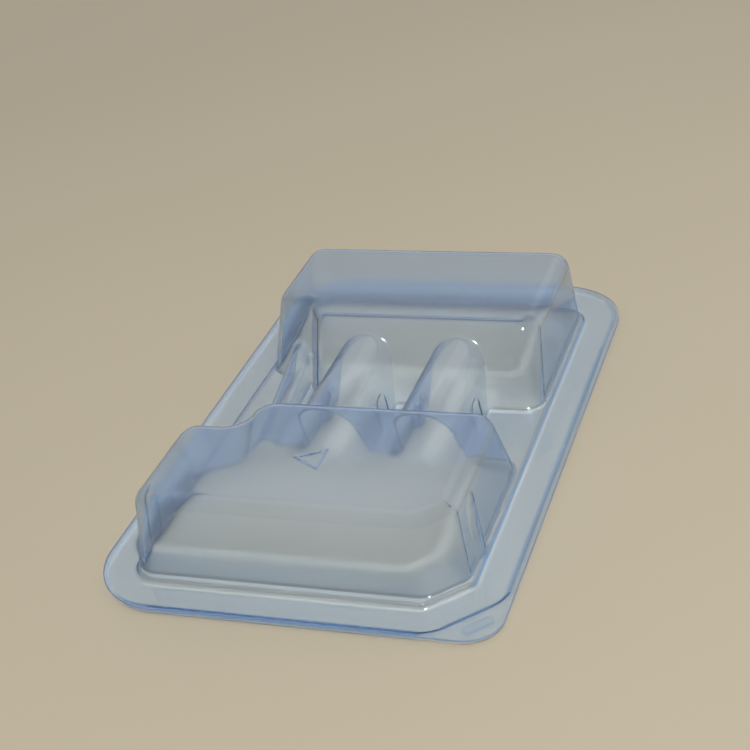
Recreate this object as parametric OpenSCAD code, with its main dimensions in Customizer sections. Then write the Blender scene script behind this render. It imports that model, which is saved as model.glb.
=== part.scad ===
// Thermoformed kit tray, drawn up from one clear sheet and lying domes up on its flange:
// two long hollow blocks face each other across a valley, three half-round channels cross it,
// and a raised rim with one pointed tab frames the seal band.
// Heights are those of the sheet's upper face above the table. X runs across, Y along the tray.

/* [Sheet] */
// Thickness of the formed sheet
sheet_t = 0.6; // [0.4:0.05:0.8]

/* [Trim outline] */
// Width across the rim
trim_w = 110; // [106:1:124]
// Length over the rim
trim_l = 172; // [168:1:186]
// Radius of the three round trim corners
trim_r = 22; // [14:1:24]
// Radius of the tab's tip
tab_r = 9.5; // [6:0.5:14]

/* [Rim and seal band] */
// Height of the rim's upper face
rim_h = 1.5; // [1.2:0.1:2.5]
// Width of the rim along its long sides
rim_side_w = 2; // [1.2:0.1:3]
// Width of the rim along its short sides
rim_end_w = 2.5; // [1.5:0.1:4]
// Width of the seal band along the long sides
band_side_w = 7.6; // [6:0.1:9]
// Width of the seal band at the front
band_front_w = 7.7; // [6:0.1:9]
// Width of the seal band at the rear
band_rear_w = 11; // [9:0.5:12]
// Radius of the step between rim and seal band
step_r = 18; // [12:1:20]
// How far the tab's diagonal step cuts off the corner of the seal band
tab_in = 10.3; // [9:0.1:12]
// Radius where the tab's step meets its neighbours
tab_step_r = 6; // [3:0.5:8]
// Lean of the step and of the platform's edge from upright
step_lean = 30; // [15:1:45]

/* [Platform] */
// Height of the platform's upper face
plat_h = 2; // [1.8:0.1:3]
// Width of the platform's ledge along the blocks' sides
ledge_side_w = 2; // [1.5:0.1:3]
// Width of the ledge in front of the front block
ledge_front_w = 3.3; // [2.5:0.1:4]
// Width of the ledge behind the rear block
ledge_rear_w = 2.5; // [2:0.1:4]
// Width of the ledge along the cut corner
ledge_cut_w = 2.3; // [1.5:0.1:3]
// Radius of the platform's corners
plat_r = 9; // [5:0.5:12]
// Shift of all that is drawn up, across the trim
form_shift = -0.5; // [-1:0.1:1]

/* [Blocks] */
// Height of the blocks' flat tops
block_h = 24; // [22:0.5:30]
// Lean of the outer walls
wall_lean = 4.5; // [2:0.5:8]
// Radius of the blocks' upright corners
corner_r = 5.5; // [5:0.5:9]
// Radius along the blocks' top edges
top_r = 4.5; // [2:0.5:4.5]
// Radius of the fillet at the foot of blocks and columns
foot_r = 1; // [0.6:0.1:1.2]
// How far the cut corner lies inside the front block's full corner
cut_in = 6; // [4:0.1:8]
// Radius where the cut corner meets its neighbours
cut_r = 4; // [3:0.5:6]

/* [Valley and shoulders] */
// Distance of the front block's valley foot from the middle
valley_front = 12.8; // [12:0.2:15]
// Distance of the rear block's valley foot from the middle
valley_rear = 12; // [11:0.5:14]
// Lean of the valley walls
valley_lean = 24.5; // [15:0.5:26]
// How much further back the valley walls stand on the left shoulders
shoulder_back = 12.8; // [9:0.2:14]
// Width of the front block's shoulder at its foot
shoulder_front_w = 9.4; // [8:0.2:11]
// Lean of the step beside it
shoulder_front_lean = 24.5; // [18:0.5:26]
// Width of the rear block's shoulder at its foot
shoulder_rear_w = 12.6; // [11:0.2:14]
// Lean of the slanting step beside it
shoulder_rear_lean = 13.5; // [10:0.5:16]
// Turn of that step from straight along the tray
shoulder_turn = 31; // [26:1:34]
// Radius of the steps' hollow corners
hollow_r = 6; // [4:0.5:8]

/* [Channels] */
// Centre of the first wide channel
channel_1_x = -8.5; // [-10:0.1:-8]
// Centre of the second wide channel
channel_2_x = 19.2; // [18:0.1:21]
// Width of the wide channels at their foot
channel_w = 18.6; // [16:0.2:19]
// How far their crest lies under the blocks' tops
channel_drop = 3.6; // [3:0.1:6]
// Lean of the channels' sides
channel_lean = 5; // [3:0.5:8]
// Radius of the fillet at the channels' foot
channel_foot_r = 0.8; // [0.5:0.1:1.2]

/* [Narrow channel] */
// Distance of its deep end's middle from the rear shoulder's hollow corner
narrow_rear_in = -1.7; // [-3:0.1:-1.5]
// Width of that end at its foot
narrow_rear_w = 7.2; // [6:0.2:8]
// Height of the crest there
narrow_rear_h = 11; // [9:0.1:13]
// Distance of its shallow end's middle from the front shoulder's step
narrow_front_in = 3.8; // [3:0.1:4.5]
// Width of that end at its foot
narrow_front_w = 5.6; // [4.6:0.2:6]
// Height of the crest there
narrow_front_h = 5.4; // [4.6:0.1:6]

/* [Niches and columns] */
// Radius of the upright niches that pinch the wide channels
niche_r = 3; // [2:0.1:3.4]
// Depth of those niches
niche_deep = 1.3; // [0.8:0.1:1.6]
// Height of the niches' round top
niche_h = 10.4; // [8:0.5:13]
// Place of the niches along the tray
niche_y = 2.5; // [-2:0.5:4]
// Radius of the half-round columns on the front block's sides
column_r = 4.6; // [4:0.1:5]
// How far the columns stand out of the side walls
column_out = 1; // [0.8:0.1:1.4]
// How far their tops lie under the blocks' tops
column_drop = 5; // [4.5:0.5:14]
// Distance of the right column from the front block's foot
column_right_in = 19.5; // [18:0.5:22]
// Distance of the left column from the front block's foot
column_left_in = 12.5; // [12:0.5:20]
// Radius of the columns' top edge
column_top_r = 1.8; // [1:0.1:2.4]

/* [Raised marks] */
// Height of the raised marks
mark_h = 0.3; // [0.2:0.05:0.5]
// Side of the plain triangle on the front block
triangle_side = 9; // [6:0.5:12]
// Width of its line
triangle_line = 0.9; // [0.6:0.1:1.4]
// Place of the triangle along the tray
triangle_y = -49; // [-54:0.5:-44]
// Length of the slot-shaped pad on the tab
pad_l = 8; // [5:0.5:9]
// Width of that pad
pad_w = 2.6; // [1.6:0.2:3.4]
// Distance of that pad's middle from the tab's step
pad_gap = 5.3; // [4.6:0.1:5.8]

/* [Hidden] */
sheet_blue = [0.66, 0.78, 0.92, 0.5];
arc_steps = 6;         // points on each upright corner, less one
trim_steps = 16;       // the same on the long corners of the rim
round_steps = 5;       // rings in each rounded top edge
foot_steps = 2;        // rings in each foot fillet
clear = 1;             // how far cutting forms reach past what they cut
lap = 0.3;             // how far a form reaches into the face it stands on
end_lap = 4;           // how far a channel reaches into the blocks at its crest
plat_top_r = 0.7;
plat_foot_r = 0.6;
band_h = sheet_t;      // the seal band lies on the table

// Where each frame stands, measured from the middle: the step, the platform and the blocks' feet
step_x = trim_w / 2 - rim_side_w;
step_y = trim_l / 2 - rim_end_w;
plat_x = step_x - band_side_w;
plat_front = step_y - band_front_w;
plat_rear = step_y - band_rear_w;
block_x = plat_x - ledge_side_w;
block_front = plat_front - ledge_front_w;
block_rear = plat_rear - ledge_rear_w;
tab_step = (step_x + step_y) / sqrt(2) - tab_in;
cut_corner = (block_x + block_front) / sqrt(2) - cut_in;

// The left shoulders: the front one's step, and the rear one's hollow corner and slanting step
shoulder_front_x = block_x - shoulder_front_w;
shoulder_rear_x = block_x - shoulder_rear_w;
shoulder_rear_out = shoulder_rear_x * cos(shoulder_turn)
    - (valley_rear + shoulder_back) * sin(shoulder_turn);
channel_h = block_h - channel_drop;
column_h = block_h - column_drop;

// An edge of a form: [way it faces, distance of its foot from the middle, lean, radius to the next edge];
// a negative radius is a hollow corner. A profile: [foot height, top height, top radius, foot radius].
trim_edges = [[0, trim_w / 2, 0, trim_r], [90, trim_l / 2, 0, trim_r],
              [180, trim_w / 2, 0, trim_r], [270, trim_l / 2, 0, tab_r]];
step_edges = [[0, step_x, -step_lean, step_r],
              [90, step_y, -step_lean, step_r],
              [180, step_x, -step_lean, step_r],
              [270, step_y, -step_lean, tab_step_r],
              [315, tab_step, -step_lean, tab_step_r]];
plat_edges = [[0, plat_x, step_lean, plat_r], [90, plat_rear, step_lean, plat_r],
              [180, plat_x, step_lean, plat_r], [270, plat_front, step_lean, cut_r],
              [315, cut_corner + ledge_cut_w, step_lean, cut_r]];
front_edges = [[0, block_x, wall_lean, corner_r],
               [90, -valley_front, valley_lean, corner_r],
               [180, shoulder_front_x, shoulder_front_lean, -hollow_r],
               [90, -valley_front - shoulder_back, valley_lean, corner_r],
               [180, block_x, wall_lean, corner_r],
               [270, block_front, wall_lean, cut_r],
               [315, cut_corner, wall_lean, cut_r]];
rear_edges = [[0, block_x, wall_lean, corner_r],
              [90, block_rear, wall_lean, corner_r],
              [180, block_x, wall_lean, corner_r],
              [270, -valley_rear - shoulder_back, valley_lean, -hollow_r],
              [180 + shoulder_turn, shoulder_rear_out, shoulder_rear_lean, corner_r],
              [270, -valley_rear, valley_lean, corner_r]];

step_profile = [band_h, rim_h, 0, 0];
plat_profile = [band_h, plat_h, plat_top_r, plat_foot_r];
block_profile = [plat_h, block_h, top_r, foot_r];
column_profile = [band_h, column_h, column_top_r, foot_r];

// Where the leaning line of an edge stands at height z
function line_at(e, p, z) = e[1] - (z - p[0]) * tan(e[2]);

// Where the skin that lies s under the face of an edge stands at height z, with its top and foot rounds
function skin_at(e, p, z, s) =
    let (top_c = p[1] - p[2], foot_c = p[0] + p[3],
         top_x = line_at(e, p, top_c) - p[2] / cos(e[2]),
         foot_x = line_at(e, p, foot_c) + p[3] / cos(e[2]))
    z > top_c + (p[2] - s) * sin(e[2]) && p[2] > 0 ?
        top_x + sqrt(max(0, pow(p[2] - s, 2) - pow(z - top_c, 2)))
    : z < foot_c - (p[3] + s) * sin(e[2]) && p[3] > 0 ?
        foot_x - sqrt(max(0, pow(p[3] + s, 2) - pow(foot_c - z, 2)))
    : line_at(e, p, z) - s / cos(e[2]);

// Where two lines meet, each given by the way it faces and its distance from the middle
function meet(a, da, b, db) =
    [(da * sin(b) - db * sin(a)) / sin(b - a), (db * cos(a) - da * cos(b)) / sin(b - a)];

// The turn from one facing to the next, between -180 and 180
function turn(a, b) = (b - a + 540) % 360 - 180;

// Points round the corner between two edges at height z
function corner(e, f, p, z, s, steps) =
    let (ex = skin_at(e, p, z, s), fx = skin_at(f, p, z, s),
         inset = (line_at(e, p, z) - ex + line_at(f, p, z) - fx) / 2,
         r = e[3] < 0 ? e[3] - inset : max(0.25, e[3] - inset),
         c = meet(e[0], ex - r, f[0], fx - r))
    [for (k = [0 : steps]) let (a = e[0] + turn(e[0], f[0]) * k / steps)
        [c[0] + r * cos(a), c[1] + r * sin(a)]];

// The whole outline of a form at height z
function outline(edges, p, z, s, steps) =
    [for (i = [0 : len(edges) - 1])
        each corner(edges[i], edges[(i + 1) % len(edges)], p, z, s, steps)];

// Heights of the rings of a form: up its foot fillet, then over its top round
function levels(p, s) = concat(
    p[3] > 0 ? [for (k = [0 : foot_steps])
        p[0] + p[3] - (p[3] + s) * cos(90 * k / foot_steps)] : [p[0] - s],
    p[2] > 0 ? [for (k = [0 : round_steps])
        p[1] - p[2] + (p[2] - s) * sin(90 * k / round_steps)] : [p[1] - s]);

// A solid through rings of equal point count, from the lowest up
module loft(rings) {
    n = len(rings[0]);
    top = len(rings) - 1;
    polyhedron(
        points = [for (r = rings) each r],
        faces = concat(
            [[for (i = [0 : n - 1]) i]],
            [for (k = [0 : top - 1]) for (i = [0 : n - 1]) each
                [[k * n + i, (k + 1) * n + i, (k + 1) * n + (i + 1) % n],
                 [k * n + i, (k + 1) * n + (i + 1) % n, k * n + (i + 1) % n]]],
            [[for (i = [n - 1 : -1 : 0]) top * n + i]]),
        convexity = 6);
}

// One ring of a form, lifted to height z but with the outline of height w
function ring(edges, p, w, z, s) = [for (q = outline(edges, p, w, s, arc_steps)) [q[0], q[1], z]];

// A drawn-up form, s under its face, that reaches a little below its foot
module form(edges, p, s = 0) {
    zs = levels(p, s);
    loft(concat([ring(edges, p, zs[0], zs[0] - lap, s)], [for (z = zs) ring(edges, p, z, z, s)]));
}

// The space inside the step from the seal band up to the rim, between two heights
module step_form(low, high, s) {
    translate([form_shift, 0, 0])
        loft([for (z = [low, high]) ring(step_edges, step_profile, z, z, s)]);
}

// The trimmed flange: the rim with the seal band sunk in it, open underneath along the rim
module flange() {
    difference() {
        linear_extrude(height = rim_h)
            polygon(outline(trim_edges, step_profile, 0, 0, trim_steps));
        step_form(band_h, rim_h + clear, 0);
        difference() {
            translate([0, 0, -clear])
                linear_extrude(height = rim_h - sheet_t + clear)
                    polygon(outline(trim_edges, step_profile, 0, -clear, trim_steps));
            step_form(-2 * clear, rim_h, -sheet_t);
        }
    }
}

// A profile whose top round just closes over a form of this half width
function arch_profile(half, high, lean) =
    [plat_h, high, (half - (high - plat_h) * tan(lean)) * cos(lean) / (1 - sin(lean)),
     channel_foot_r];

// The upright section of a channel at the place y, from its right foot over the crest to its left
function channel_section(x, y, w, high, s) =
    let (side = [0, w / 2, channel_lean], p = arch_profile(w / 2, high, channel_lean),
         zs = levels(p, s), foot = skin_at(side, p, zs[0], s))
    concat([[x + foot, y, zs[0] - lap]],
           [for (z = zs) [x + max(0.01, skin_at(side, p, z, s)), y, z]],
           [for (i = [len(zs) - 1 : -1 : 0]) [x - max(0.01, skin_at(side, p, zs[i], s)), y, zs[i]]],
           [[x - foot, y, zs[0] - lap]]);

// How far behind its foot a valley wall stands at height z
function wall_back(z) = (z - plat_h) * tan(valley_lean);

// A wide channel across the valley, with both ends inside the blocks
module wide_channel(x, s) {
    back = wall_back(channel_h) + end_lap - s;
    loft([channel_section(x, valley_rear + back, channel_w, channel_h, s),
          channel_section(x, -valley_front - back, channel_w, channel_h, s)]);
}

// The narrow channel: it falls from the rear shoulder to the front block and runs on inside both
module narrow_channel(s) {
    rear_y = valley_rear + shoulder_back;
    run = rear_y + valley_front;
    rear_end = (wall_back(narrow_rear_h) + end_lap - s) / run;
    front_end = (wall_back(narrow_front_h) + end_lap - s) / run;
    front_x = narrow_front_in - shoulder_front_x;
    rear_x = narrow_rear_in - shoulder_rear_x;
    function along(front, rear, at) = front + (rear - front) * at;
    loft([for (at = [1 + rear_end, -front_end])
        channel_section(along(front_x, rear_x, at), along(-valley_front, rear_y, at),
                        along(narrow_front_w, narrow_rear_w, at),
                        along(narrow_front_h, narrow_rear_h, at), s)]);
}

// An upright niche with a domed top, s larger all round
module niche(x, s) {
    hull() {
        translate([x, niche_y, plat_h - s])
            cylinder(h = lap, r = niche_r + s, $fn = 32);
        translate([x, niche_y, niche_h - niche_r])
            sphere(r = niche_r + s, $fn = 32);
    }
}

// A wide channel pinched by a pair of niches
module pinched_channel(x, s) {
    out = channel_w / 2 - (niche_h - plat_h) * tan(channel_lean) - niche_deep + niche_r;
    difference() {
        wide_channel(x, s);
        for (side = [-1, 1])
            niche(x + side * out, s);
    }
}

// A half-round column on a side wall of the front block, this far from the block's foot
module column(side, inside, s) {
    edge = [0, column_r, wall_lean];
    zs = levels(column_profile, s);
    low = zs[0] - lap;
    translate([side * (block_x + column_out - column_r), inside - block_front, 0])
        rotate_extrude($fn = 48)
            polygon(concat([[0, low], [skin_at(edge, column_profile, zs[0], s), low]],
                           [for (z = zs) [skin_at(edge, column_profile, z, s), z]],
                           [[0, zs[len(zs) - 1]]]));
}

// All that is drawn up out of the flange; s = 0 gives the upper face, s = sheet_t the inner one
module drawn_forms(s) {
    translate([form_shift, 0, 0]) {
        form(plat_edges, plat_profile, s);
        form(front_edges, block_profile, s);
        form(rear_edges, block_profile, s);
        pinched_channel(channel_1_x, s);
        pinched_channel(channel_2_x, s);
        narrow_channel(s);
        column(1, column_right_in, s);
        column(-1, column_left_in, s);
    }
}

// A plain triangle on the front block and a slot-shaped pad on the tab
module raised_marks() {
    outer = triangle_side / sqrt(3);
    translate([0, triangle_y, block_h - lap])
        rotate([0, 0, 180]) linear_extrude(height = lap + mark_h)
            difference() {
                circle(r = outer, $fn = 3);
                circle(r = outer - 2 * triangle_line, $fn = 3);
            }
    rotate([0, 0, -45])
        translate([tab_step + pad_gap, (trim_w - trim_l) / 2 / sqrt(2), rim_h - lap])
            linear_extrude(height = lap + mark_h) {
                square([pad_w, pad_l - pad_w], center = true);
                for (end = [-1, 1])
                    translate([0, end * (pad_l - pad_w) / 2])
                        circle(d = pad_w, $fn = 32);
            }
}

module tray() {
    color(sheet_blue)
        difference() {
            union() {
                flange();
                drawn_forms(0);
                raised_marks();
            }
            drawn_forms(sheet_t);
        }
}

tray();
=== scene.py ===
import math

import bpy
import numpy as np
from mathutils import Matrix


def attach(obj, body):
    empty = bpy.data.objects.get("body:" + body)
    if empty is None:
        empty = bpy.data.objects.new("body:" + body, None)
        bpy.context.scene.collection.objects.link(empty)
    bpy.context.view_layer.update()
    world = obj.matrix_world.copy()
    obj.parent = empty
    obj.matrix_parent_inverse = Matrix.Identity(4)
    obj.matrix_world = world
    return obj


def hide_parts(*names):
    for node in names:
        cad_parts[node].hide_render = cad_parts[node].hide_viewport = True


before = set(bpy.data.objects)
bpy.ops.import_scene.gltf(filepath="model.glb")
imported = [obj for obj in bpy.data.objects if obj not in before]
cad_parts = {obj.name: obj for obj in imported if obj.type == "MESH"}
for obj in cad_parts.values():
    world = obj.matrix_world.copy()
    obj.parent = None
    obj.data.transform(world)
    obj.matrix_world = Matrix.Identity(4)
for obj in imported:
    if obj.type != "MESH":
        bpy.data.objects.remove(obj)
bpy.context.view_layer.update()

MM = 0.001

# Sheet and trim, in millimetres
SHEET = 0.6
TRIM_W, TRIM_L, TRIM_R, TAB_R = 110.0, 172.0, 22.0, 9.5
FORM_SHIFT = -0.5

# Rim, seal band and platform
RIM_H = 1.5
STEP_X, STEP_Y, STEP_R, RIM_LEAN = 53.0, 83.5, 18.0, 42.0
TAB_STEP, TAB_STEP_R = 86.2, 6.0
EDGE_LEAN = 30.0
EDGE_TOP_R, EDGE_FOOT_R = 0.7, 0.6
PLAT_H = 2.0
PLAT_X, PLAT_FRONT, PLAT_REAR, PLAT_R = 45.4, 75.8, 72.5, 9.0
PLAT_CUT = 78.3

# Blocks
BLOCK_H = 24.0
BLOCK_X, BLOCK_FRONT, BLOCK_REAR = 43.4, 72.5, 70.0
WALL_LEAN = 4.5
CORNER_R, TOP_R, FOOT_R = 5.5, 4.5, 0.7
TOP_CHANGE = 8.0
CUT_CORNER, CUT_R = 75.95, 4.0

# Valley and shoulders
VALLEY_FRONT, VALLEY_REAR, VALLEY_LEAN = 12.8, 12.0, 24.5
SHOULDER_BACK = 12.8
FRONT_STEP_X, FRONT_STEP_LEAN = 34.0, 24.5
REAR_STEP_X, REAR_STEP_LEAN, REAR_STEP_TURN = 30.8, 13.5, 31.0
HOLLOW_R = 6.0

# Wide channels, with a niche in each side
WIDE_X = (-8.5, 19.2)
WIDE_W, WIDE_H, CHANNEL_LEAN = 18.6, 20.4, 5.0
WIDE_END = 26.0
NICHE_R, NICHE_DEEP, NICHE_H, NICHE_Y, NICHE_EDGE_R = 3.0, 1.3, 10.4, 2.5, 0.8

# Narrow channel: its place, width and height at both ends of the valley, how far it runs into the blocks,
# and the shares of the valley's length between which it tapers
NARROW_FRONT = (-30.2, 5.6, 5.4)
NARROW_REAR = (-32.5, 7.2, 11.0)
NARROW_PAST = (6.0, 9.0)
NARROW_TAPER = (-0.2, 1.25)

# Columns, and the round where they and the channels meet the blocks
COLUMN_R, COLUMN_OUT, COLUMN_H, COLUMN_TOP_R = 4.6, 1.0, 19.0, 1.8
COLUMN_Y = {1: -53.0, -1: -60.0}
BLEND_R = 0.7

# Raised marks
MARK_H, MARK_SOFT = 0.2, 0.55
TRIANGLE_SIDE, TRIANGLE_LINE, TRIANGLE_Y = 9.0, 0.9, -48.9
PAD_L, PAD_W, PAD_OUT, PAD_H, PAD_SOFT = 8.0, 2.6, 91.5, 0.3, 1.6

# Mesh: the grid's cell and how far it reaches past the tray, how far inside the trim its points start,
# the triangles of each face, the step that slopes are measured over, and the least that they divide by
CELL = 0.45
GRID_SIDE, GRID_BELOW, GRID_ABOVE = 2.0, 0.7, 1.5
LEAST_INSIDE = 0.2
MOST_TRIANGLES = 90000
NUDGE = 0.01
FLATTEST, TINY = 0.05, 1e-9

# Plastic and its cut edge
SHEET_TINT, TINT_DENSITY = (0.05, 0.455, 0.95, 1), 430.0
GLOSS, REFRACTION = 0.09, 1.57
# Painted blue shade on the outer steps and the front rim
STEP_PAINTED_SHADE_BLUE = (0.62, 0.76, 0.97, 1)
# Painted grey shade at the feet and on the inner steps
CREASE_PAINTED_SHADE_GREY, CREASE_SHADE_SHARE = (0.68, 0.67, 0.655, 1), 0.25
# Painted light: blue on the cut edge for the light that the sheet carries to it
CUT_EDGE_PAINTED_LIGHT_BLUE = (0.30, 0.42, 0.66, 1)
CUT_FROST, CUT_FROST_CHANGE = 0.45, 0.2

# Where the painted blue and grey shade begin and end, and where the rounded edges begin, in millimetres
SEAL_STEP_Y, SEAL_STEP_X, SEAL_STEP_CORNER = (79, 80), (48, 49), (116, 117)
STEP_TOP, BEFORE_PAD = (2.6, 2.2), (126.2, 125.5)
FRONT_RIM, FRONT_RIM_END = (-83.1, -83.7), (121.9, 121.2)
FOOT_FROM, FOOT_TO = (1.3, 1.35), (2.4, 2.2)
BEFORE_REAR = (60, 50)
ABOVE_STEPS = (5, 8)

# How level or how sideways a face looks where they begin and end
OFF_LEVEL, OFF_UPRIGHT = (0.98, 0.8), (0.15, 0.4)
SIDEWAYS = (0.5, 0.75)
FOOT_LEVEL = (0.99, 0.95)
LEANING, TOP_ROUND = (0.985, 0.93), (0.45, 0.65)

# Shares of a lamp's light that flat faces and walls let through, and how late they fade towards edge on
FLAT_PASS, WALL_PASS, EDGE_ON = 0.6, 0.8, 5

# Floor and room, in metres
FLOOR_DARK, FLOOR_LIGHT = (0.47, 0.41, 0.295, 1), (0.49, 0.425, 0.31, 1)
FLOOR_HALF, FLOOR_DROP = 3.0, 0.0001
BACKDROP, BACKDROP_FROM = (0.434, 0.381, 0.283, 1), (0.35, 0.9)
SKY = (0.98, 0.99, 1.0, 1)
SKY_LOW, SKY_UP, SKY_BACK = 0.22, 0.14, 0.40

# Lamps: name, place and size in metres, and power in watts. Each looks at the middle of the tray's underside
LAMPS = (
    ("key_softbox", (0.40, -0.49, 1.07), (0.045, 0.045), 8.6),
    ("key_glow", (0.39, -0.50, 1.07), (0.25, 0.25), 2.0),
    ("ceiling_panel", (-0.32, 0.40, 1.52), (1.2, 0.9), 0.8),
    ("back_panel", (0.16, 1.25, 0.99), (0.8, 0.7), 0.5),
)

# Camera: its place and the ways of its right side, its upper side and its view
CAMERA_PLACE = (0.1500, -0.3589, 0.2446)
CAMERA_RIGHT = (0.9419, 0.3061, -0.1386)
CAMERA_UP = (-0.0430, 0.5189, 0.8536)
CAMERA_AHEAD = (-0.3332, 0.7980, -0.5020)
CAMERA_LENS, CAMERA_SENSOR = 77.73, 36


def both(a, b, r=0.0):
    """Inside both depths, with the edge between them rounded by r."""
    deep = np.maximum(np.minimum(a, b), r)
    return deep - np.hypot(np.maximum(r - a, 0), np.maximum(r - b, 0))


def either(a, b, r=0.0):
    """Inside either depth, with the hollow between them filled by r."""
    return -both(-a, -b, r)


def arc(radius, turn):
    """The round that both() needs so that faces that turn by this many degrees meet in a true radius."""
    return radius * (1 - math.cos(math.radians(turn)))


def eased(t):
    """0 up to 0 and 1 from 1 on, with a soft start and end between them."""
    t = np.clip(t, 0, 1)
    return t * t * (3 - 2 * t)


def leaning(out, z, foot, lean):
    """Depth inside a face that stands out mm away at its foot and leans in by lean degrees."""
    a = math.radians(lean)
    return (out - (z - foot) * math.tan(a)) * math.cos(a)


def face(x, y, z, facing, out, lean):
    """Depth inside a leaning face that looks towards facing, in degrees from +X."""
    a = math.radians(facing)
    return leaning(out - x * math.cos(a) - y * math.sin(a), z, PLAT_H, lean)


def tab_quarter(x, y):
    """True in the quarter of the tray that has the tab."""
    return (x > 0) & (y < 0)


def to_tab(x, y):
    """How far a point lies from the middle, along the diagonal that points to the tab."""
    return (x - y) / math.sqrt(2)


def block(x, y, z, valley, end):
    """A block's plan from its valley side and its end, and the depth inside its other three faces."""
    sides = both(face(x, y, z, 0, BLOCK_X, WALL_LEAN), face(x, y, z, 180, BLOCK_X, WALL_LEAN))
    return both(both(valley, sides, CORNER_R), end, CORNER_R), np.minimum(sides, end)


def soft_top(plan, valley, others, z):
    """Rounds a block's top edge, with less of it on the valley side, whose walls lean more."""
    steep, slack = arc(TOP_R, 90 - WALL_LEAN), arc(TOP_R, 90 - VALLEY_LEAN)
    share = eased(0.5 + (others - valley) / TOP_CHANGE)
    return both(plan, BLOCK_H - z, steep + (slack - steep) * share)


def front_block(x, y, z):
    valley = both(face(x, y, z, 90, -VALLEY_FRONT, VALLEY_LEAN),
                  face(x, y, z, 180, FRONT_STEP_X, FRONT_STEP_LEAN), CORNER_R)
    shoulder = face(x, y, z, 90, -VALLEY_FRONT - SHOULDER_BACK, VALLEY_LEAN)
    valley = either(valley, shoulder, HOLLOW_R)
    plan, others = block(x, y, z, valley, face(x, y, z, 270, BLOCK_FRONT, WALL_LEAN))
    plan = both(plan, face(x, y, z, 315, CUT_CORNER, WALL_LEAN), arc(CUT_R, 45))
    return soft_top(plan, valley, others, z)


def rear_block(x, y, z):
    turn = math.radians(REAR_STEP_TURN)
    step_out = REAR_STEP_X * math.cos(turn) - (VALLEY_REAR + SHOULDER_BACK) * math.sin(turn)
    corner = 90 - REAR_STEP_TURN
    valley = both(face(x, y, z, 270, -VALLEY_REAR, VALLEY_LEAN),
                  face(x, y, z, 180 + REAR_STEP_TURN, step_out, REAR_STEP_LEAN), arc(CORNER_R, corner))
    shoulder = face(x, y, z, 270, -VALLEY_REAR - SHOULDER_BACK, VALLEY_LEAN)
    valley = either(valley, shoulder, arc(HOLLOW_R, corner))
    plan, others = block(x, y, z, valley, face(x, y, z, 90, BLOCK_REAR, WALL_LEAN))
    return soft_top(plan, valley, others, z)


def ridge(off, z, half, crest):
    """Depth inside a channel: steep sides that close over in one round."""
    a = math.radians(CHANNEL_LEAN)
    r = (half - (crest - PLAT_H) * math.tan(a)) * math.cos(a) / (1 - math.sin(a))
    off = np.abs(off)
    side = leaning(half - off, z, PLAT_H, CHANNEL_LEAN)
    up = z - (crest - r)
    return np.where(up > off * math.tan(a), r - np.hypot(off, up), side)


def wide_channel(x, y, z, centre):
    """A wide channel with a niche pressed into each side."""
    depth = ridge(x - centre, z, WIDE_W / 2, WIDE_H)
    half = WIDE_W / 2 - (NICHE_H - PLAT_H) * math.tan(math.radians(CHANNEL_LEAN))
    out = half - NICHE_DEEP + NICHE_R
    up = np.maximum(z - (NICHE_H - NICHE_R), 0)
    for side in (-1, 1):
        away = np.sqrt((x - centre - side * out) ** 2 + (y - NICHE_Y) ** 2 + up ** 2)
        depth = both(depth, away - NICHE_R, NICHE_EDGE_R)
    return np.minimum(depth, WIDE_END - np.abs(y))


def narrow_channel(x, y, z):
    """The tapering channel at the left end of the valley."""
    front, rear = -VALLEY_FRONT, VALLEY_REAR + SHOULDER_BACK
    at = np.clip((y - front) / (rear - front), *NARROW_TAPER)
    centre, width, crest = (a + (b - a) * at for a, b in zip(NARROW_FRONT, NARROW_REAR))
    ends = np.minimum(y - front + NARROW_PAST[0], rear + NARROW_PAST[1] - y)
    return np.minimum(ridge(x - centre, z, width / 2, crest), ends)


def channels(x, y, z):
    wide = [wide_channel(x, y, z, centre) for centre in WIDE_X]
    return np.maximum.reduce(wide + [narrow_channel(x, y, z)])


def column(x, y, z, side):
    middle = side * (BLOCK_X + COLUMN_OUT - COLUMN_R)
    depth = leaning(COLUMN_R - np.hypot(x - middle, y - COLUMN_Y[side]), z, PLAT_H, WALL_LEAN)
    return both(depth, COLUMN_H - z, COLUMN_TOP_R)


def step_depth(x, y):
    """How far inside the step between rim and seal band a point of the seal band's plane lies."""
    plain_corner = both(STEP_X - np.abs(x), STEP_Y - np.abs(y), STEP_R)
    tab_corner = both(np.minimum(STEP_X - x, STEP_Y + y), TAB_STEP - to_tab(x, y), arc(TAB_STEP_R, 45))
    return np.where(tab_quarter(x, y), tab_corner, plain_corner)


def platform(x, y, z):
    ends = np.minimum(PLAT_REAR - y, PLAT_FRONT + y)
    plain_corner = both(PLAT_X - np.abs(x), ends, PLAT_R)
    cut_corner = both(np.minimum(PLAT_X - x, PLAT_FRONT + y), PLAT_CUT - to_tab(x, y), arc(CUT_R, 45))
    depth = np.where(tab_quarter(x, y), cut_corner, plain_corner)
    return both(leaning(depth, z, SHEET, EDGE_LEAN), PLAT_H - z, EDGE_TOP_R)


def rim(x, y, z):
    return both(leaning(-step_depth(x, y), z, SHEET, RIM_LEAN), RIM_H - z, EDGE_TOP_R)


def tray_depth(x, y, z):
    """Depth under the sheet's upper face, positive below it, for points in millimetres."""
    x = x - FORM_SHIFT
    body = either(front_block(x, y, z), rear_block(x, y, z))
    body = either(body, channels(x, y, z), BLEND_R)
    body = either(body, np.maximum(column(x, y, z, 1), column(x, y, z, -1)), BLEND_R)
    low = either(either(SHEET - z, platform(x, y, z), EDGE_FOOT_R), rim(x, y, z), EDGE_FOOT_R)
    return either(low, body, FOOT_R)


def trim_depth(x, y):
    """How far inside the trim outline a point lies."""
    r = np.where(tab_quarter(x, y), TAB_R, TRIM_R)
    return both(TRIM_W / 2 - np.abs(x), TRIM_L / 2 - np.abs(y), r)


def trim_field(x, y, z):
    return trim_depth(x, y)


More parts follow.
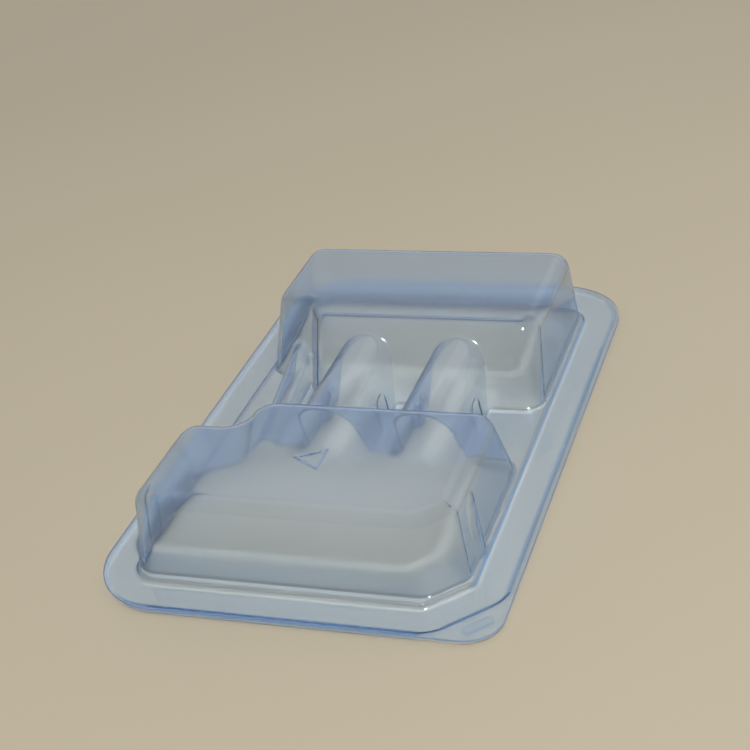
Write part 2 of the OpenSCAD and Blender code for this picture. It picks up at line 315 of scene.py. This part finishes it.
def marks(x, y):
    """Height of the plain triangle on the front block and of the slot-shaped pad on the tab."""
    inside = TRIANGLE_SIDE / (2 * math.sqrt(3))
    far = np.maximum.reduce([x * math.cos(a) + (y - TRIANGLE_Y) * math.sin(a)
                             for a in (0, 2 * math.pi / 3, -2 * math.pi / 3)])
    line = TRIANGLE_LINE / 2 - np.abs(far - inside + TRIANGLE_LINE / 2)
    middle = to_tab(TRIM_W / 2, TRIM_L / 2)
    past = np.maximum(np.abs(to_tab(x, -y) - middle) - (PAD_L - PAD_W) / 2, 0)
    pad = PAD_W / 2 - np.hypot(past, to_tab(x, y) - PAD_OUT)
    return np.maximum(MARK_H * eased(line / MARK_SOFT + 0.5), PAD_H * eased(pad / PAD_SOFT + 0.5))


def marked_depth(x, y, z):
    return tray_depth(x, y, z - marks(x, y))


def slopes(field, p):
    """The field's gradient at points p, by central differences."""
    out = np.empty_like(p)
    for k in range(3):
        d = np.zeros(3)
        d[k] = NUDGE
        out[:, k] = (field(*(p + d).T) - field(*(p - d).T)) / (2 * NUDGE)
    return out


def settle(field, p, rounds=4):
    """Moves points onto the field's zero surface."""
    for _ in range(rounds):
        g = slopes(field, p)
        p = p - g * (field(*p.T) / np.maximum((g * g).sum(1), FLATTEST))[:, None]
    return p


def outward(field, p):
    g = -slopes(field, p)
    return g / np.maximum(np.linalg.norm(g, axis=1), TINY)[:, None]


def crossed_edges(value, axes, k):
    """The grid edges along axis k that the surface crosses: where it does, the four cells around each in
    turn, and whether the edge starts inside."""
    ahead, back = [slice(None)] * 3, [slice(None)] * 3
    ahead[k], back[k] = slice(1, None), slice(None, -1)
    cut = np.argwhere((value[tuple(ahead)] > 0) != (value[tuple(back)] > 0))
    others = [j for j in range(3) if j != k]
    cut = cut[np.all([(cut[:, j] > 0) & (cut[:, j] < value.shape[j] - 1) for j in others], axis=0)]
    beyond = cut.copy()
    beyond[:, k] += 1
    v0, v1 = value[tuple(cut.T)], value[tuple(beyond.T)]
    point = np.stack([axes[j][cut[:, j]] for j in range(3)], 1)
    point[:, k] += CELL * v0 / (v0 - v1)
    cells = []
    for da, db in ((-1, -1), (0, -1), (0, 0), (-1, 0)):
        cell = cut.copy()
        cell[:, others] += (da, db)
        cells.append(np.ravel_multi_index(tuple(cell.T), value.shape))
    return point, np.stack(cells, 1), v0 > 0


def surface_net(field, low, high):
    """Points and quads of the field's zero surface, with one point in each grid cell that it crosses."""
    axes = [np.arange(a, b, CELL) for a, b in zip(low, high)]
    value = field(*np.meshgrid(*axes, indexing="ij"))
    total, count = np.zeros((value.size, 3)), np.zeros(value.size)
    quads = []
    for k in range(3):
        point, cells, starts_inside = crossed_edges(value, axes, k)
        for cell in cells.T:
            count += np.bincount(cell, minlength=value.size)
            for j in range(3):
                total[:, j] += np.bincount(cell, point[:, j], value.size)
        flip = starts_inside == (k == 1)
        cells[flip] = cells[flip][:, ::-1]
        quads.append(cells)
    used = np.flatnonzero(count)
    index = np.full(value.size, -1)
    index[used] = np.arange(len(used))
    return total[used] / count[used][:, None], index[np.concatenate(quads)]


def mesh_object(name, points, faces):
    mesh = bpy.data.meshes.new(name)
    mesh.from_pydata((points * MM).tolist(), [], faces.tolist())
    mesh.validate()
    made = bpy.data.objects.new(name, mesh)
    bpy.context.scene.collection.objects.link(made)
    return made


def thinned(made, triangles):
    """Collapses a mesh of quads to about this many triangles and returns its points and triangles."""
    collapse = made.modifiers.new("collapse", "DECIMATE")
    collapse.ratio = min(1, triangles / (2 * len(made.data.polygons)))
    mesh = made.evaluated_get(bpy.context.evaluated_depsgraph_get()).to_mesh()
    mesh.calc_loop_triangles()
    points, faces = np.empty(3 * len(mesh.vertices)), np.empty(3 * len(mesh.loop_triangles), int)
    mesh.vertices.foreach_get("co", points)
    mesh.loop_triangles.foreach_get("vertices", faces)
    bpy.data.objects.remove(made)
    return points.reshape(-1, 3) / MM, faces.reshape(-1, 3)


def border_edges(faces):
    """The directed edges that only one face has."""
    n = faces.max() + 1
    loops = np.concatenate([np.stack([faces[:, k], np.roll(faces, -1, 1)[:, k]], 1)
                            for k in range(faces.shape[1])])
    key, back = loops[:, 0] * n + loops[:, 1], loops[:, 1] * n + loops[:, 0]
    return loops[~np.isin(key, back)]


def on_trim(p):
    """Points of the rim's edge, moved sideways onto the trim outline."""
    for _ in range(3):
        p = p - slopes(trim_field, p) * trim_field(*p.T)[:, None]
    return p


def upper_face():
    """The sheet's upper face, cut along the trim outline."""
    low = (-TRIM_W / 2 - GRID_SIDE, -TRIM_L / 2 - GRID_SIDE, -GRID_BELOW)
    high = (TRIM_W / 2 + GRID_SIDE, TRIM_L / 2 + GRID_SIDE, BLOCK_H + GRID_ABOVE)
    points, quads = surface_net(marked_depth, low, high)
    points = settle(marked_depth, points)
    kept = (trim_depth(points[:, 0], points[:, 1]) > LEAST_INSIDE)[quads].all(1)
    used, quads = np.unique(quads[kept], return_inverse=True)
    points, quads = points[used], quads.reshape(-1, 4)
    edge = np.unique(border_edges(quads))
    points[edge] = on_trim(points[edge])
    points, faces = thinned(mesh_object("upper", points, quads), MOST_TRIANGLES)
    edge = np.unique(border_edges(faces))
    points = settle(marked_depth, points, 2)
    points[edge] = on_trim(points[edge])
    points[edge, 2] = RIM_H
    return points, faces


def lower_face(upper):
    """The upper face moved in by the sheet, without its marks, and the ways that it looks."""
    base = upper.copy()
    base[:, 2] -= marks(*upper[:, :2].T)
    down = -outward(tray_depth, base)
    lower = base + SHEET * down
    lower[:, 2] = np.maximum(lower[:, 2], 0)
    return lower, down


def clear_sheet(name):
    """The tray as one closed sheet: its upper face, its lower face and the cut edge between them."""
    upper, faces = upper_face()
    lower, down = lower_face(upper)
    a, b = border_edges(faces).T
    lower[a] = upper[a] - (0, 0, SHEET)
    n = len(upper)
    strip = np.concatenate([np.stack([b, a, a + n], 1), np.stack([b, a + n, b + n], 1)])
    points = np.concatenate([upper, lower])
    made = mesh_object(name, points, np.concatenate([faces, faces[:, ::-1] + n, strip]))
    corners = np.empty(len(made.data.loops), int)
    made.data.loops.foreach_get("vertex_index", corners)
    normals = np.concatenate([outward(marked_depth, upper), down])[corners]
    normals[-3 * len(strip):] = outward(trim_field, points)[corners[-3 * len(strip):]]
    made.data.polygons.foreach_set("material_index", [0] * (2 * len(faces)) + [1] * len(strip))
    made.data.polygons.foreach_set("use_smooth", [True] * len(made.data.polygons))
    made.data.normals_split_custom_set(normals.tolist())
    return made


class Value:
    """A number socket that adds a Math node for each operation."""

    def __init__(self, paint, socket):
        self.paint, self.socket = paint, socket

    def _maths(self, operation, *values):
        made = self.paint.node("ShaderNodeMath", {"operation": operation}, *values)
        return self.paint.value(made.outputs[0])

    def __add__(self, other): return self._maths("ADD", self, other)
    __radd__ = __add__

    def __sub__(self, other): return self._maths("SUBTRACT", self, other)
    def __rsub__(self, other): return self._maths("SUBTRACT", other, self)

    def __mul__(self, other): return self._maths("MULTIPLY", self, other)
    __rmul__ = __mul__

    def __pow__(self, other): return self._maths("POWER", self, other)
    def __abs__(self): return self._maths("ABSOLUTE", self)

    def over(self, other):
        """The larger of the two."""
        return self._maths("MAXIMUM", self, other)

    def ramp(self, ends, unit=1.0):
        """0 at the first end and 1 at the second, straight between them and level beyond."""
        low, high = (end * unit for end in ends)
        made = self.paint.node("ShaderNodeMapRange", None, self, From_Min=low, From_Max=high)
        return self.paint.value(made.outputs["Result"])


class Paint:
    """The nodes of one material or of the world."""

    def __init__(self, owner, output="ShaderNodeOutputMaterial"):
        owner.use_nodes = True
        self.owner, self.tree = owner, owner.node_tree
        self.tree.nodes.clear()
        self.output = self.tree.nodes.new(output)

    def node(self, kind, settings=None, *values, **named):
        """A node of this kind, with its settings, then its sockets by their order or by their names."""
        made = self.tree.nodes.new(kind)
        for key, value in (settings or {}).items():
            setattr(made, key, value)
        for place, value in enumerate(values):
            self.feed(made.inputs[place], value)
        for name, value in named.items():
            self.feed(made.inputs[name.replace("_", " ")], value)
        return made

    def feed(self, socket, value):
        value = value.socket if isinstance(value, Value) else value
        if isinstance(value, bpy.types.NodeSocket):
            self.tree.links.new(value, socket)
        else:
            socket.default_value = value

    def value(self, socket):
        return Value(self, socket)

    def parts(self, vector):
        """A vector's three numbers."""
        return [self.value(part) for part in self.node("ShaderNodeSeparateXYZ", None, vector).outputs]

    def mix(self, share, first, second):
        """The first colour, with this share of the second."""
        made = self.node("ShaderNodeMix", {"data_type": "RGBA"}, share)
        self.feed(made.inputs[6], first)
        self.feed(made.inputs[7], second)
        return made.outputs[2]

    def show(self, shader, volume=None):
        self.feed(self.output.inputs["Surface"], shader)
        if volume:
            self.feed(self.output.inputs["Volume"], volume)
        return self.owner


def sheet_colour_with_painted_shade(paint, place, facing):
    """White, but with blue shade painted on the outer steps and the front rim, where the eye looks along the
    sheet, and grey shade painted at the feet and on the inner steps."""
    x, y, height = paint.parts(place)
    across, level = abs(facing[0]), abs(facing[2])
    corner = x - y
    outer = abs(y).ramp(SEAL_STEP_Y, MM).over(abs(x).ramp(SEAL_STEP_X, MM))
    outer = outer.over(corner.ramp(SEAL_STEP_CORNER, MM))
    slope = height.ramp(STEP_TOP, MM) * level.ramp(OFF_LEVEL) * level.ramp(OFF_UPRIGHT)
    slope = slope * corner.ramp(BEFORE_PAD, MM)
    side = outer.over(across.ramp(SIDEWAYS))
    # Painted blue shade on the outer steps and the front rim, where the eye looks along the sheet
    blue = (slope * side).over(y.ramp(FRONT_RIM, MM) * corner.ramp(FRONT_RIM_END, MM))
    foot = height.ramp(FOOT_FROM, MM) * height.ramp(FOOT_TO, MM) * level.ramp(FOOT_LEVEL)
    # Painted grey shade in the creases at the feet and on the inner steps
    grey = (CREASE_SHADE_SHARE * slope * (1 - side) * y.ramp(BEFORE_REAR, MM)).over(foot)
    return paint.mix(blue, paint.mix(grey, (1, 1, 1, 1), CREASE_PAINTED_SHADE_GREY), STEP_PAINTED_SHADE_BLUE)


def light_through(paint, place, facing):
    """The share of a lamp's light that the sheet lets through: most at the blocks' rounded edges, and least
    where a wall is seen edge on."""
    height, level = paint.parts(place)[2], abs(facing[2])
    leans = level.ramp(LEANING)
    rounded = leans * level.ramp(TOP_ROUND) * height.ramp(ABOVE_STEPS, MM)
    turned = paint.value(paint.node("ShaderNodeLayerWeight", None, Blend=0.5).outputs["Facing"])
    passed = FLAT_PASS + (WALL_PASS - FLAT_PASS) * leans + (1 - WALL_PASS) * rounded
    return passed * (1 - turned ** EDGE_ON)


def blue_sheet_material():
    """Clear plastic that absorbs red in its depth and lets lamps shine through."""
    paint = Paint(bpy.data.materials.new("clear_blue_sheet"))
    place = paint.node("ShaderNodeTexCoord").outputs["Object"]
    facing = paint.parts(paint.node("ShaderNodeNewGeometry").outputs["Normal"])
    ripple = paint.node("ShaderNodeTexNoise", None, place, Scale=70.0, Detail=1.5, Roughness=0.45)
    bump = paint.node("ShaderNodeBump", None, Strength=0.25, Distance=0.0004, Height=ripple.outputs["Fac"])
    plastic = paint.node("ShaderNodeBsdfPrincipled", None, Base_Color=sheet_colour_with_painted_shade(paint, place, facing),
                         Roughness=GLOSS, IOR=REFRACTION, Transmission_Weight=1.0,
                         Normal=bump.outputs["Normal"])
    shadow = paint.value(paint.node("ShaderNodeLightPath").outputs["Is Shadow Ray"])
    clear = paint.node("ShaderNodeBsdfTransparent", None, Color=(1, 1, 1, 1))
    mixed = paint.node("ShaderNodeMixShader", None, shadow * light_through(paint, place, facing),
                       plastic.outputs[0], clear.outputs[0])
    tint = paint.node("ShaderNodeVolumeAbsorption", None, Color=SHEET_TINT, Density=TINT_DENSITY)
    return paint.show(mixed.outputs[0], tint.outputs[0])


def cut_edge_material():
    """The die-cut edge, frosted, with blue painted on it for the light which the sheet carries to it."""
    paint = Paint(bpy.data.materials.new("cut_edge"))
    place = paint.node("ShaderNodeTexCoord").outputs["Object"]
    nicks = paint.node("ShaderNodeTexNoise", None, place, Scale=900.0, Detail=1.0)
    frost = CUT_FROST + CUT_FROST_CHANGE * paint.value(nicks.outputs["Fac"])
    edge = paint.node("ShaderNodeBsdfPrincipled", None, Base_Color=CUT_EDGE_PAINTED_LIGHT_BLUE, Roughness=frost,
                      IOR=REFRACTION)
    return paint.show(edge.outputs[0])


def seen(paint):
    """1 for the rays that show the background: to the camera, in a reflection or through the sheet."""
    rays = paint.node("ShaderNodeLightPath").outputs
    camera_ray, glossy_ray, through_ray = (paint.value(rays[name]) for name in
                                           ("Is Camera Ray", "Is Glossy Ray", "Is Transmission Ray"))
    return camera_ray.over(glossy_ray).over(through_ray)


def floor_material():
    """Beige card that keeps its lit colour far from the tray, where the lamps no longer reach."""
    paint = Paint(bpy.data.materials.new("beige_floor"))
    place = paint.node("ShaderNodeTexCoord").outputs["Object"]
    cloud = paint.node("ShaderNodeTexNoise", None, place, Scale=6.0, Detail=2.0)
    colour = paint.mix(cloud.outputs["Fac"], FLOOR_DARK, FLOOR_LIGHT)
    card = paint.node("ShaderNodeBsdfPrincipled", None, Base_Color=colour, Roughness=0.6)
    away = paint.value(paint.node("ShaderNodeVectorMath", {"operation": "LENGTH"}, place).outputs["Value"])
    lit = paint.node("ShaderNodeEmission", None, BACKDROP)
    mixed = paint.node("ShaderNodeMixShader", None, seen(paint) * away.ramp(BACKDROP_FROM),
                       card.outputs[0], lit.outputs[0])
    return paint.show(mixed.outputs[0])


def floor():
    h = FLOOR_HALF
    mesh = bpy.data.meshes.new("table_top")
    mesh.from_pydata([(-h, -h, 0), (h, -h, 0), (h, h, 0), (-h, h, 0)], [], [(0, 1, 2, 3)])
    made = bpy.data.objects.new("table_top", mesh)
    made.location.z = -FLOOR_DROP
    bpy.context.scene.collection.objects.link(made)
    made.data.materials.append(floor_material())


def lamp(name, place, size, power):
    data = bpy.data.lights.new(name, "AREA")
    data.shape = "RECTANGLE"
    data.size, data.size_y = size
    data.energy = power
    made = bpy.data.objects.new(name, data)
    made.location = place
    made.rotation_euler = made.location.to_track_quat("Z", "Y").to_euler()
    bpy.context.scene.collection.objects.link(made)


def room_light():
    """A soft room, brighter overhead and at the back, and floor-coloured to the camera."""
    world = bpy.data.worlds.new("soft_room")
    paint = Paint(world, "ShaderNodeOutputWorld")
    way = paint.parts(paint.node("ShaderNodeTexCoord").outputs["Generated"])
    up, back = way[2].ramp((0, 1)), way[1].ramp((0, 1))
    sky = paint.node("ShaderNodeBackground", None, SKY, SKY_LOW + SKY_UP * up + SKY_BACK * back)
    past_floor = paint.node("ShaderNodeBackground", None, BACKDROP)
    camera_ray = paint.node("ShaderNodeLightPath").outputs["Is Camera Ray"]
    mixed = paint.node("ShaderNodeMixShader", None, camera_ray, sky.outputs[0], past_floor.outputs[0])
    bpy.context.scene.world = paint.show(mixed.outputs[0])
    # No shadow rays to the room: they and the rays through the sheet would light the floor under it twice
    world.cycles.sampling_method = "NONE"


def camera():
    data = bpy.data.cameras.new("photo_camera")
    data.lens, data.sensor_width = CAMERA_LENS, CAMERA_SENSOR
    made = bpy.data.objects.new("photo_camera", data)
    rows = [(right, up, -ahead, place) for right, up, ahead, place in
            zip(CAMERA_RIGHT, CAMERA_UP, CAMERA_AHEAD, CAMERA_PLACE)]
    made.matrix_world = Matrix(rows + [(0, 0, 0, 1)])
    bpy.context.scene.collection.objects.link(made)
    bpy.context.scene.camera = made


camera()
tray = clear_sheet("blister_tray")
tray.data.materials.append(blue_sheet_material())
tray.data.materials.append(cut_edge_material())
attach(tray, "root")
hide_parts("tray")
floor()
room_light()
for each in LAMPS:
    lamp(*each)
bpy.context.scene.view_settings.view_transform = "Standard"
